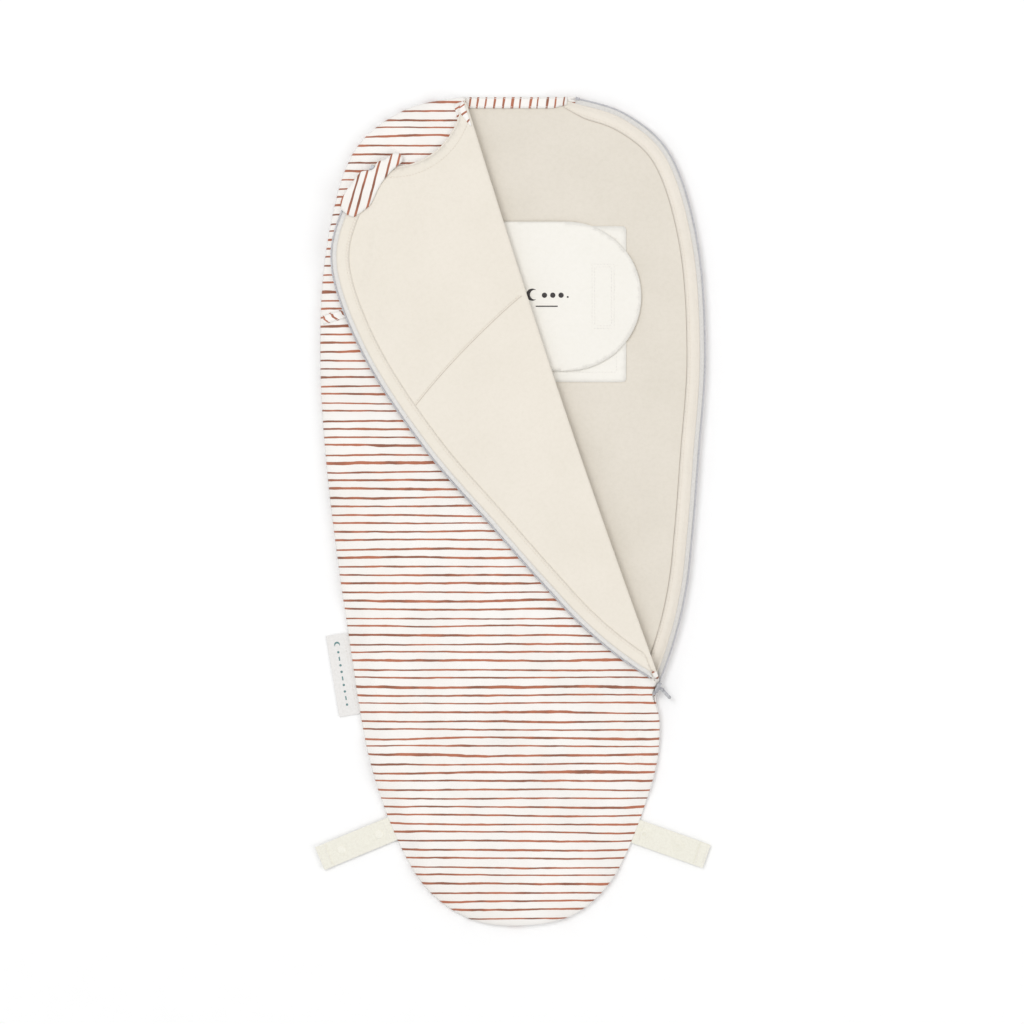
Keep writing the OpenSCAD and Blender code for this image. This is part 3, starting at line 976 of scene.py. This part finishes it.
def coil_piece(name, path, place, height, body, node):
    """A nylon coil: a helix wound round a cord."""
    along = lengths(path)
    at = np.linspace(0, along[-1], int(along[-1] / COIL_PITCH * 10))
    side = inward(path)
    angle = at / COIL_PITCH * 2 * math.pi
    reach = COIL_INSET + COIL_HALF * np.cos(angle)
    xy = points_at(path, along, at) + reach[:, None] * points_at(side, along, at)
    helix = tube_points(place(xy, height + COIL_HALF * np.sin(angle)), WIRE, 5)
    cord = tube_points(place(path + COIL_INSET * side, height), 0.5 * MM)
    points, faces = joined([helix, cord])
    finish_piece(make_piece(name, points, faces, coil_look, points[:, :2]), body, node)


def back_coil_place(xy, h):
    """The back's coil, a little lower where the chin guard covers it when closed."""
    dip = ease((60 * MM - np.linalg.norm(xy - zip_path[-1], axis=1)) / (10 * MM))
    return np.column_stack([xy, h - 0.45 * MM * dip])


coil_piece("back_coil", zip_path, back_coil_place, BACK_COIL_Z, "bag", "back_zip_coil")


def flap_coil_place(xy, h):
    lies = folded(xy, FLAP_COIL_Z)
    lies[:, 2] -= h - FLAP_COIL_Z
    return lies


coil_piece("flap_coil", flap_zip_path[4:], flap_coil_place, FLAP_COIL_Z, "flap", "flap_zip_coil")


def roll_section(inset_by, height, wide, tall):
    """A ring of (inset, height) corners, for a strip that rolls round an edge."""
    return [(inset_by + wide * math.cos(a), height + tall * math.sin(a))
            for a in np.linspace(0, 2 * math.pi, 9)[:-1]]


# Side seam: a narrow roll where the two striped cloths meet
seam_path = smoothed(resample(closed_outline[top_i:], 3 * MM))
seam_roll = roll_section(0.9 * MM, 2.0 * MM, -0.9 * MM, 1.0 * MM)
seam_rise = rim_height(seam_place(seam_path)[1]) - SEAM_Z
piece = swept_strip("side_seam_cloth", seam_path, seam_roll,
                    lambda xy, h: np.column_stack([xy, h + seam_rise * 0.75]), striped)
stripes_run_on(piece)
finish_piece(piece, "bag", None)

# Neckline: the join of outer cloth and lining along the flap's neck edge
neck_path = resample(neckline_arc()[::-1], 2.5 * MM)
_, neck_w = fold_coordinates(neck_path)
neck_flap = neck_path[neck_w > 3 * MM]
neck_roll = roll_section(-0.4 * MM, (OUTER_Z + LINING_Z) / 2, 0.9 * MM, 0.85 * MM)
neck_flip = neck_flap if neck_flap[0][0] > neck_flap[-1][0] else neck_flap[::-1]
piece = swept_strip("neck_edge_cloth", neck_flip, neck_roll, folded, facing)
finish_piece(piece, "flap", None)

# ---------- bands of striped cloth ----------


def stitches(name, line, body, material=thread):
    finish_piece(stitch_row(name, line, material), body, None)


CHEST_CENTRE = np.array([0.0, -407.0]) * MM
CHEST_RADIUS = 604 * MM
CHEST_HALF = 4.2 * MM
front_loop = panel_loop(1.6 * MM, 4 * MM, 3 * MM, True)


def chest_arc(radius, side):
    line = arc(CHEST_CENTRE, radius, math.radians(110), math.radians(70), 260)
    _, w = fold_coordinates(line)
    return line[inside(line, front_loop) & (w * side > ROLL_CLEAR)]


def chest_rows(side, place, radii):
    rows = []
    for radius in radii:
        rows.append(place(resample(chest_arc(radius, side), 1 * MM)))
    count = min(len(r) for r in rows)
    return [points_at(r, np.arange(len(r)), np.linspace(0, len(r) - 1, count)) for r in rows]


chest_radii = [CHEST_RADIUS + CHEST_HALF * t for t in (-1, -0.5, 0, 0.5, 1)]
for side, body, node in ((-1, "bag", "chest_band"), (1, "flap", "flap_chest_band")):
    ribbon(node + "_cloth", chest_rows(side, over_front(0.55 * MM), chest_radii), striped, 50,
           0.5 * MM, body, node)
    for radius in (CHEST_RADIUS - CHEST_HALF + 1 * MM, CHEST_RADIUS + CHEST_HALF - 1 * MM):
        line = chest_rows(side, over_front(0.85 * MM), [radius])[0]
        row = "low" if radius < CHEST_RADIUS else "high"
        stitches(f"{node}_stitch_{row}", line, body, thread_white)

band_y = np.linspace(band_low.y, band_high.y, 5)


def band_end(x, y):
    """Lifts the lower edge of the neck band towards its zip end, where it narrows."""
    share = (band_high.y - y) / (band_high.y - band_low.y)
    return share * 3 * MM * ease((x - band_high.x + 12 * MM) / (15 * MM))


band_x = np.linspace(band_low.x - 3 * MM, band_high.x + 3 * MM, 40)
band_rows = [
    over_back(1.6 * MM)(np.column_stack([band_x, y + band_end(band_x, y)])) for y in band_y
]
ribbon("neck_band_cloth", band_rows, striped, 98, 0.8 * MM, "bag", "back_neck_band")
for part in (0.12, 0.88):
    y = band_low.y + part * (band_high.y - band_low.y)
    line = over_back(2.05 * MM)(np.column_stack([band_x, y + band_end(band_x, y)]))
    stitches(f"neck_band_stitch_{int(part * 100)}", line, "bag", thread_white)

# Turned end of the neck binding, on the shoulder beside the fold
corner_along = np.linspace(1.5 * MM, 25 * MM, 12)
corner_rows = []
for w in np.linspace(-10, -2.2, 5):
    line = from_fold(corner_along, w * MM)
    line[:, 0] -= 2.5 * MM * (corner_along / (25 * MM)) ** 2
    corner_rows.append(over_front(0.6 * MM)(line))
ribbon("neck_corner_cloth", corner_rows, striped, 75, 0.7 * MM, "bag", None)

turn_rows = []
for part in np.linspace(0, 1, 5):
    left = np.minimum(np.minimum(1 + 0.85 * corner_along / MM, 7), 11 - 0.36 * corner_along / MM)
    w = -(left + (0.8 - left) * part) * MM
    turn_rows.append(over_flap(0.55 * MM)(from_fold(corner_along, w)))
ribbon("neck_turn_cloth", turn_rows, striped, 70, 0.4 * MM, "flap", None)

# ---------- seams and stitches on the linings ----------


def seam_line(name, line, body, radius=0.3 * MM, material=seam_painted_shade):
    """A fine seam that lies half sunk in the cloth. Its default colour is darker than the cloth:
    painted shade for the shadow line along the seam.
    """
    points, faces = tube_points(resample(line, 2 * MM), radius, 6, 0.7)
    return finish_piece(make_piece(name, points, faces, material, points[:, :2]), body, None)


for inset_by, row in ((14.8 * MM, "outer"), (16.4 * MM, "inner")):
    stitches(f"back_facing_stitch_{row}", facing_line(inset_by, 1.1 * MM), "bag")
    line = inset_rows(flap_zip_path, [inset_by], over_flap_lining(1.05 * MM))[0]
    stitches(f"flap_facing_stitch_{row}", line, "flap")
# This seam tube's darker colour is painted shade for the shadow line at the facing's edge
seam_line("back_facing_seam", facing_line(FACING_INNER + 0.4 * MM, 0.42 * MM), "bag")
seam_line("flap_facing_seam", inset_rows(flap_zip_path, [FACING_INNER + 0.3 * MM],
                                         over_flap_lining(0.4 * MM))[0], "flap",
          0.3 * MM, lining)

inner_neck = neck_flip + 8.5 * MM * inward(neck_flip)
stitches("neckline_stitch", folded(inner_neck, LINING_Z - 0.45 * MM), "flap")
yoke_seam = chest_rows(1, over_flap_lining(0.42 * MM), [CHEST_RADIUS])[0]
# This seam tube's darker colour is painted shade for the shadow line along the yoke seam
seam_line("yoke_seam", yoke_seam, "flap", 0.35 * MM)
yoke_stitch = chest_rows(1, over_flap_lining(0.5 * MM), [CHEST_RADIUS + 1.6 * MM])[0]
stitches("yoke_stitch", yoke_stitch, "flap")

# ---------- inner wrap ----------


def cloth_plate(name, loop, place, material, spacing, thickness):
    xy, faces = flat_patch(loop, spacing)
    piece = make_piece(name, place(xy), faces, material, xy)
    return thicken(piece, thickness)


base_loop = even_loop(flat_outline("wrap_base"), 3 * MM)
piece = cloth_plate("wrap_base_cloth", base_loop, over_back(0.85 * MM), wrap_look, 5 * MM,
                    0.7 * MM)
finish_piece(piece, "bag", "wrap_base")

hem_line = np.roll(rectangle(*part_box("wrap_base"), 9 * MM), 1, axis=0)
stitches("wrap_base_stitch", over_back(1.25 * MM)(resample(hem_line, 3 * MM)), "bag",
         thread_white)

wing_low, wing_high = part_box("wrap_wing")
root_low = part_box("wrap_root")[0]
WING_RADIUS = (wing_high.y - wing_low.y) / 2
WING_CENTRE = np.array([wing_high.x - WING_RADIUS, (wing_high.y + wing_low.y) / 2])
WING_Z = (wing_low.z + wing_high.z) / 2


def wing_shape(inset_by):
    """The wing's outline, drawn in by inset_by: a strip with one round end."""
    radius = WING_RADIUS - inset_by
    left = root_low.x + inset_by
    round_end = arc(WING_CENTRE, radius, -math.pi / 2, math.pi / 2, 60)
    corners = np.array([(left, WING_CENTRE[1] + radius), (left, WING_CENTRE[1] - radius)])
    return np.concatenate([round_end, corners])


def on_wing(lift):
    def place(xy):
        edge = np.clip(distance_to(xy, closed(wing_shape(0))) / (5 * MM), 0, 1)
        puff = 0.15 * MM * ease(edge) - 0.35 * MM * (1 - ease(edge))
        return np.column_stack([xy, WING_Z + puff + ripple(xy, 34, 0.35, 6.6) + lift])
    return place


wing_joint = joints["wing_lift"]
WING_HINGE = np.array(wing_joint["pos_m"][:2])


def blend_wing(piece):
    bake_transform(piece)


wing_loop = even_loop(wing_shape(0), 3 * MM)
hinge_along = np.arange(0, 0.36, 4 * MM)
wing_rails = [
    WING_HINGE + w * MM * FOLD_SIDE + hinge_along[:, None] * FOLD_DIR
    for w in (-3, -2, -1, 0, 1, 2, 3)
]
wing_xy, wing_faces = flat_patch(wing_loop, 4.5 * MM, wing_rails)
wing_piece = make_piece("wrap_wing_cloth", on_wing(0)(wing_xy), wing_faces, wrap_look, wing_xy)
thicken(wing_piece, 0.7 * MM)
blend_wing(wing_piece)
finish_piece(wing_piece, None, ["wrap_root", "wrap_wing"],
             abs(signed_area(wing_loop)))
line = resample(wing_shape(2.2 * MM)[:60], 2 * MM)
line = line[fold_coordinates(line)[1] > 14 * MM]
stitches("wing_stitch_edge", on_wing(0.4 * MM)(line), "wing", thread_white)
for inset_by, row in ((1 * MM, "outer"), (3.4 * MM, "inner")):
    line = resample(closed(rectangle(*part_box("wrap_hook_patch"), inset_by)), 2 * MM)
    stitches(f"wing_patch_stitch_{row}", on_wing(0.4 * MM)(line), "wing",
             thread_white)

for node, body in (("wrap_loop_patch", "bag"), ("wrap_hook_patch", "wing")):
    low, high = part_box(node)
    z = (low.z + high.z) / 2
    piece = cloth_plate(node + "_cloth", even_loop(rectangle(low, high), 2.5 * MM),
                        lambda xy: np.column_stack([xy, z + ripple(xy, 3, 0.06, 2.2)]),
                        hook_look, 2.5 * MM, high.z - low.z)
    finish_piece(piece, body, node)

# ---------- chin guard ----------


def rounded(loop, rounds):
    for _ in range(rounds):
        loop = (np.roll(loop, 1, 0) + 2 * loop + np.roll(loop, -1, 0)) / 4
    return loop


guard_low, guard_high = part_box("chin_guard")
guard_loop = rounded(even_loop(flat_outline("chin_guard"), 1.5 * MM), 12)

# Its outer edge is drawn out over the coil, up to the stop
flap_edge = folded(flap_zip_path, FLAP_COIL_Z)[:, :2]
near_coil = ease((11 * MM - distance_to(guard_loop, flap_edge)) / (7 * MM))
near_coil *= ease((guard_loop[:, 1] - guard_low.y + 2 * MM) / (16 * MM))
past_stop = np.linalg.norm(guard_loop - middle("flap_zip_stop")[:2], axis=1)
near_coil *= ease((past_stop - 3.5 * MM) / (5 * MM))
around = np.concatenate([guard_loop[-1:], guard_loop, guard_loop[:1]])
guard_loop = guard_loop - 7 * MM * near_coil[:, None] * inward(around)[1:-1]
guard_loop = rounded(guard_loop, 4)
guard_xy, guard_faces = flat_patch(guard_loop, 2.2 * MM)
guard_depth = np.clip(distance_to(guard_xy, closed(guard_loop)) / (4 * MM), 0, 1)
guard_z = (guard_low.z + guard_high.z) / 2 + 0.5 * MM * dome(guard_depth) - 0.5 * MM
over_coil = 2 * FOLD_Z - FLAP_COIL_Z + COIL_HALF + WIRE + 0.4 * MM
share = ease((7 * MM - distance_to(guard_xy, flap_edge)) / (4 * MM))
guard_z += (np.maximum(guard_z, over_coil) - guard_z) * share
guard_z += 0.35 * MM * dome(guard_depth) * (1 - share)
piece = make_piece("chin_guard_cloth", np.column_stack([guard_xy, guard_z]), guard_faces, striped,
                   turned(*guard_xy.T, math.radians(-75)))
thicken(piece, 0.7 * MM)
finish_piece(piece, "flap", "chin_guard",
             abs(signed_area(guard_loop)))

# ---------- straps and label ----------


def plate_axes(node, joint):
    """Where a narrow plate starts, which way it points, its length and its width."""
    loop = flat_outline(node)
    root = np.array(joints[joint]["pos_m"][:2])
    axis = np.array(joints[joint]["axis"][:2])
    axis /= np.linalg.norm(axis)
    out = np.array([axis[1], -axis[0]])
    middle_xy = (loop.max(0) + loop.min(0)) / 2
    if (middle_xy - root) @ out < 0:
        out = -out
    across = np.array([-out[1], out[0]])
    reach = (loop - root) @ out
    spread = (loop - root) @ across
    return root, out, across, float(reach.max()), float(spread.min()), float(spread.max())


def webbing(name, node, joint, body, profile, material, spread_step):
    """A plate swept across its width from a side profile of (reach, height)."""
    root, out, across, reach, low, high = plate_axes(node, joint)
    count = max(3, int(round((high - low) / spread_step)) + 1)
    at = np.linspace(low, high, count)
    points = [(*(root + r * out + v * across), z) for v in at for r, z in profile]
    uv = [(u, v) for v in at for u in lengths(profile)]
    faces = [face[::-1] for face in ring_faces(count, len(profile))]
    piece = make_piece(name, points, faces, material, uv, smooth=False)
    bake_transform(piece)
    finish_piece(piece, None, node)


def stitches_across(name, node, joint, r, z, margin, count, body):
    """A row of stitches across a narrow plate, at the distance r from its root."""
    root, out, across, _, near, far = plate_axes(node, joint)
    line = [(*(root + r * out + v * across), z)
            for v in np.linspace(near + margin, far - margin, count)]
    stitches(name, np.array(line), body, thread_white)


def strap_profile(reach, bottom, top, hem_top, hem_back):
    """Side view of webbing whose end is folded over into a hem."""
    lower = [(r, bottom) for r in np.linspace(-4 * MM, reach - 0.6 * MM, 24)]
    end_z = (bottom + hem_top) / 2
    bend = [
        (reach - 0.6 * MM + 0.6 * MM * math.sin(a), end_z - (end_z - bottom) * math.cos(a))
        for a in np.linspace(0.5, math.pi - 0.5, 6)
    ]
    upper = [(reach - 0.6 * MM, hem_top), (hem_back, hem_top), (hem_back, top + 0.05 * MM)]
    back = [(r, top) for r in np.linspace(hem_back - 0.3 * MM, -4 * MM, 20)]
    return np.array(lower + bend + upper + back)


for side, node in (("left", "left_strap"), ("right", "right_strap")):
    joint, body = f"{side}_strap_fold", f"strap_{side}"
    low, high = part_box(node)
    reach = plate_axes(node, joint)[3]
    webbing_top = low.z + 1.2 * MM
    profile = strap_profile(reach, low.z, webbing_top, high.z, reach - 9 * MM)
    webbing(node + "_cloth", node, joint, body, profile, twill, 2 * MM)
    for r, top, where in ((reach - 8 * MM, high.z, "inner"), (reach - 1.6 * MM, high.z, "outer"),
                          (5 * MM, webbing_top, "root")):
        stitches_across(f"{node}_stitch_{where}", node, joint, r, top + 0.1 * MM, 1 * MM, 12,
                        body)

low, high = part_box("side_label")
label_reach = plate_axes("side_label", "label_fold")[3]
fold_r = (high.z - low.z) / 2
label_profile = (
    [(r, low.z) for r in np.linspace(-3 * MM, label_reach - fold_r, 8)]
    + [(label_reach - fold_r + fold_r * math.sin(a), low.z + fold_r - fold_r * math.cos(a))
       for a in np.linspace(0.6, math.pi - 0.6, 4)]
    + [(r, high.z) for r in np.linspace(label_reach - fold_r, -3 * MM, 8)]
)
webbing("side_label_cloth", "side_label", "label_fold", "label", np.array(label_profile),
        label_look, 3 * MM)
stitches_across("side_label_stitch", "side_label", "label_fold", 3.2 * MM, high.z + 0.08 * MM,
                2 * MM, 20, "label")

# ---------- plain marks on the wing and the label ----------


def disc(x, y, radius):
    return arc((x, y), radius, 0, 2 * math.pi, 25)[:-1]


def bar(x0, x1, y, tall):
    return np.array([(x0, y - tall / 2), (x1, y - tall / 2), (x1, y + tall / 2),
                     (x0, y + tall / 2)])


def crescent(x, y, radius):
    rim = arc((x, y), radius, math.radians(50), math.radians(310), 25)
    hollow = arc((x + radius * 0.42, y), radius * 0.8, math.radians(285), math.radians(75), 18)
    return np.concatenate([rim, hollow])


def marks(name, shapes, place, material):
    patches = [flat_patch(even_loop(shape * MM, 0.6 * MM), 1.2 * MM) for shape in shapes]
    points, faces = joined([(place(xy), tris) for xy, tris in patches])
    return thicken(make_piece(name, points, faces, material, points[:, :2]), 0.1 * MM)


def wing_mark_place(xy):
    return on_wing(0.4 * MM)(xy + WING_CENTRE)


wing_marks = [crescent(-31, 1.5, 5.5), disc(-20, 1, 2.4), disc(-12.5, 1, 2.4), disc(-5, 1, 2.4),
              disc(1, -0.6, 0.9)]
for name, shapes in (("wing_mark", wing_marks), ("wing_mark_line", [bar(-28, -8, -9, 1.1)])):
    piece = marks(name, shapes, wing_mark_place, mark_dark)
    blend_wing(piece)
    finish_piece(piece, None, None)

label_root, label_out, label_across, label_reach = plate_axes("side_label", "label_fold")[:4]
label_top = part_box("side_label")[1].z + 0.05 * MM


def label_mark_place(xy):
    at = label_root + xy[:, :1] * label_across + (label_reach * 0.55 + xy[:, 1:]) * label_out
    return np.column_stack([at, np.full(len(at), label_top)])


label_marks = [crescent(-28, 0, 2.6)]
for k, x in enumerate((-21, -15, -9, -3, 3, 9, 15, 21, 27)):
    label_marks.append(bar(x - 1.8, x + 1.8, 0, 1.1) if k % 3 == 1 else disc(x, 0, 1.1))
piece = marks("label_mark", label_marks, label_mark_place, mark_teal)
finish_piece(piece, "label", None)

# ---------- metal and plastic ----------


def dress(node, material, bevel):
    part = frame["nodes"][node]
    part.data.materials.clear()
    part.data.materials.append(material)
    edges = part.modifiers.new("edges", "BEVEL")
    edges.width = bevel
    edges.segments = 3
    edges.limit_method = "ANGLE"


for node in ("back_zip_stop", "zip_bottom_stop", "flap_zip_stop", "slider_body", "pull_tab"):
    dress(node, metal, 0.22 * MM)
dress("slider_pin", metal, 0.1 * MM)
for node in ("left_snap_caps", "left_snap_studs", "right_snap_sockets", "right_snap_caps"):
    dress(node, snap_look, 0.12 * MM)
